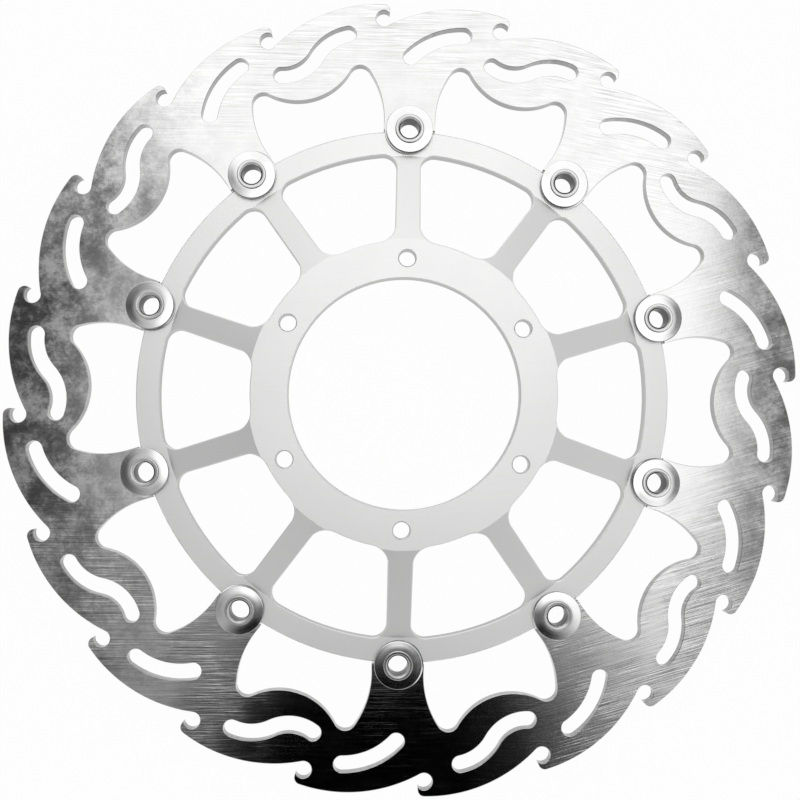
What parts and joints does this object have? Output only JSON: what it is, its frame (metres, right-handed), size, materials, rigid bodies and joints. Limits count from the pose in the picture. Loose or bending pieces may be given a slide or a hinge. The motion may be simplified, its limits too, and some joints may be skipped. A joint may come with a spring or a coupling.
{
  "type": "brake disc rotor",
  "caption": "Full-floating motorcycle front brake disc with a hooked, slotted steel brake ring on hollow bobbins around a dished, spoked aluminium carrier.",
  "frame": {"origin": "on the disc's axis, in the plane of the hub's inner face", "axes": "+Z along the disc's axis to the outer face, +Y through the centre of one bobbin and one wheel bolt hole"},
  "size_m": [0.3186, 0.3186, 0.0145],
  "materials": {
    "ring_steel": "ground stainless steel",
    "carrier_aluminium": "fine satin, clear anodised",
    "bobbin_steel": "turned and polished",
    "washer_steel": "polished",
    "spring_steel": "spring strip, dull"
  },
  "bodies": {
    "carrier": {"carrier": "carrier_aluminium"},
    "ring": {"brake_ring": "ring_steel"},
    "bobbin_01": {"bobbin_01": "bobbin_steel", "washer_01": "washer_steel", "wave_spring_01": "spring_steel"},
    "bobbin_02": {"bobbin_02": "bobbin_steel", "washer_02": "washer_steel", "wave_spring_02": "spring_steel"},
    "bobbin_03": {"bobbin_03": "bobbin_steel", "washer_03": "washer_steel", "wave_spring_03": "spring_steel"},
    "bobbin_04": {"bobbin_04": "bobbin_steel", "washer_04": "washer_steel", "wave_spring_04": "spring_steel"},
    "bobbin_05": {"bobbin_05": "bobbin_steel", "washer_05": "washer_steel", "wave_spring_05": "spring_steel"},
    "bobbin_06": {"bobbin_06": "bobbin_steel", "washer_06": "washer_steel", "wave_spring_06": "spring_steel"},
    "bobbin_07": {"bobbin_07": "bobbin_steel", "washer_07": "washer_steel", "wave_spring_07": "spring_steel"},
    "bobbin_08": {"bobbin_08": "bobbin_steel", "washer_08": "washer_steel", "wave_spring_08": "spring_steel"},
    "bobbin_09": {"bobbin_09": "bobbin_steel", "washer_09": "washer_steel", "wave_spring_09": "spring_steel"},
    "bobbin_10": {"bobbin_10": "bobbin_steel", "washer_10": "washer_steel", "wave_spring_10": "spring_steel"}
  },
  "joints": [
    {"name": "ring_float", "type": "slide", "parent": "carrier", "child": "ring", "axis": [0, 0, 1], "range_m": [0, 0.0004], "stiffness_N_per_m": 20000, "springref_m": -0.001, "deforming": ["wave_spring_01", "wave_spring_02", "wave_spring_03", "wave_spring_04", "wave_spring_05", "wave_spring_06", "wave_spring_07", "wave_spring_08", "wave_spring_09", "wave_spring_10"]},
    {"name": "bobbin_01_spin", "type": "hinge", "parent": "carrier", "child": "bobbin_01", "pos_m": [0, 0.1075, -0.003], "axis": [0, 0, 1], "continuous": true},
    {"name": "bobbin_02_spin", "type": "hinge", "parent": "carrier", "child": "bobbin_02", "pos_m": [0.06319, 0.08697, -0.003], "axis": [0, 0, 1], "continuous": true},
    {"name": "bobbin_03_spin", "type": "hinge", "parent": "carrier", "child": "bobbin_03", "pos_m": [0.10224, 0.03322, -0.003], "axis": [0, 0, 1], "continuous": true},
    {"name": "bobbin_04_spin", "type": "hinge", "parent": "carrier", "child": "bobbin_04", "pos_m": [0.10224, -0.03322, -0.003], "axis": [0, 0, 1], "continuous": true},
    {"name": "bobbin_05_spin", "type": "hinge", "parent": "carrier", "child": "bobbin_05", "pos_m": [0.06319, -0.08697, -0.003], "axis": [0, 0, 1], "continuous": true},
    {"name": "bobbin_06_spin", "type": "hinge", "parent": "carrier", "child": "bobbin_06", "pos_m": [0, -0.1075, -0.003], "axis": [0, 0, 1], "continuous": true},
    {"name": "bobbin_07_spin", "type": "hinge", "parent": "carrier", "child": "bobbin_07", "pos_m": [-0.06319, -0.08697, -0.003], "axis": [0, 0, 1], "continuous": true},
    {"name": "bobbin_08_spin", "type": "hinge", "parent": "carrier", "child": "bobbin_08", "pos_m": [-0.10224, -0.03322, -0.003], "axis": [0, 0, 1], "continuous": true},
    {"name": "bobbin_09_spin", "type": "hinge", "parent": "carrier", "child": "bobbin_09", "pos_m": [-0.10224, 0.03322, -0.003], "axis": [0, 0, 1], "continuous": true},
    {"name": "bobbin_10_spin", "type": "hinge", "parent": "carrier", "child": "bobbin_10", "pos_m": [-0.06319, 0.08697, -0.003], "axis": [0, 0, 1], "continuous": true}
  ]
}
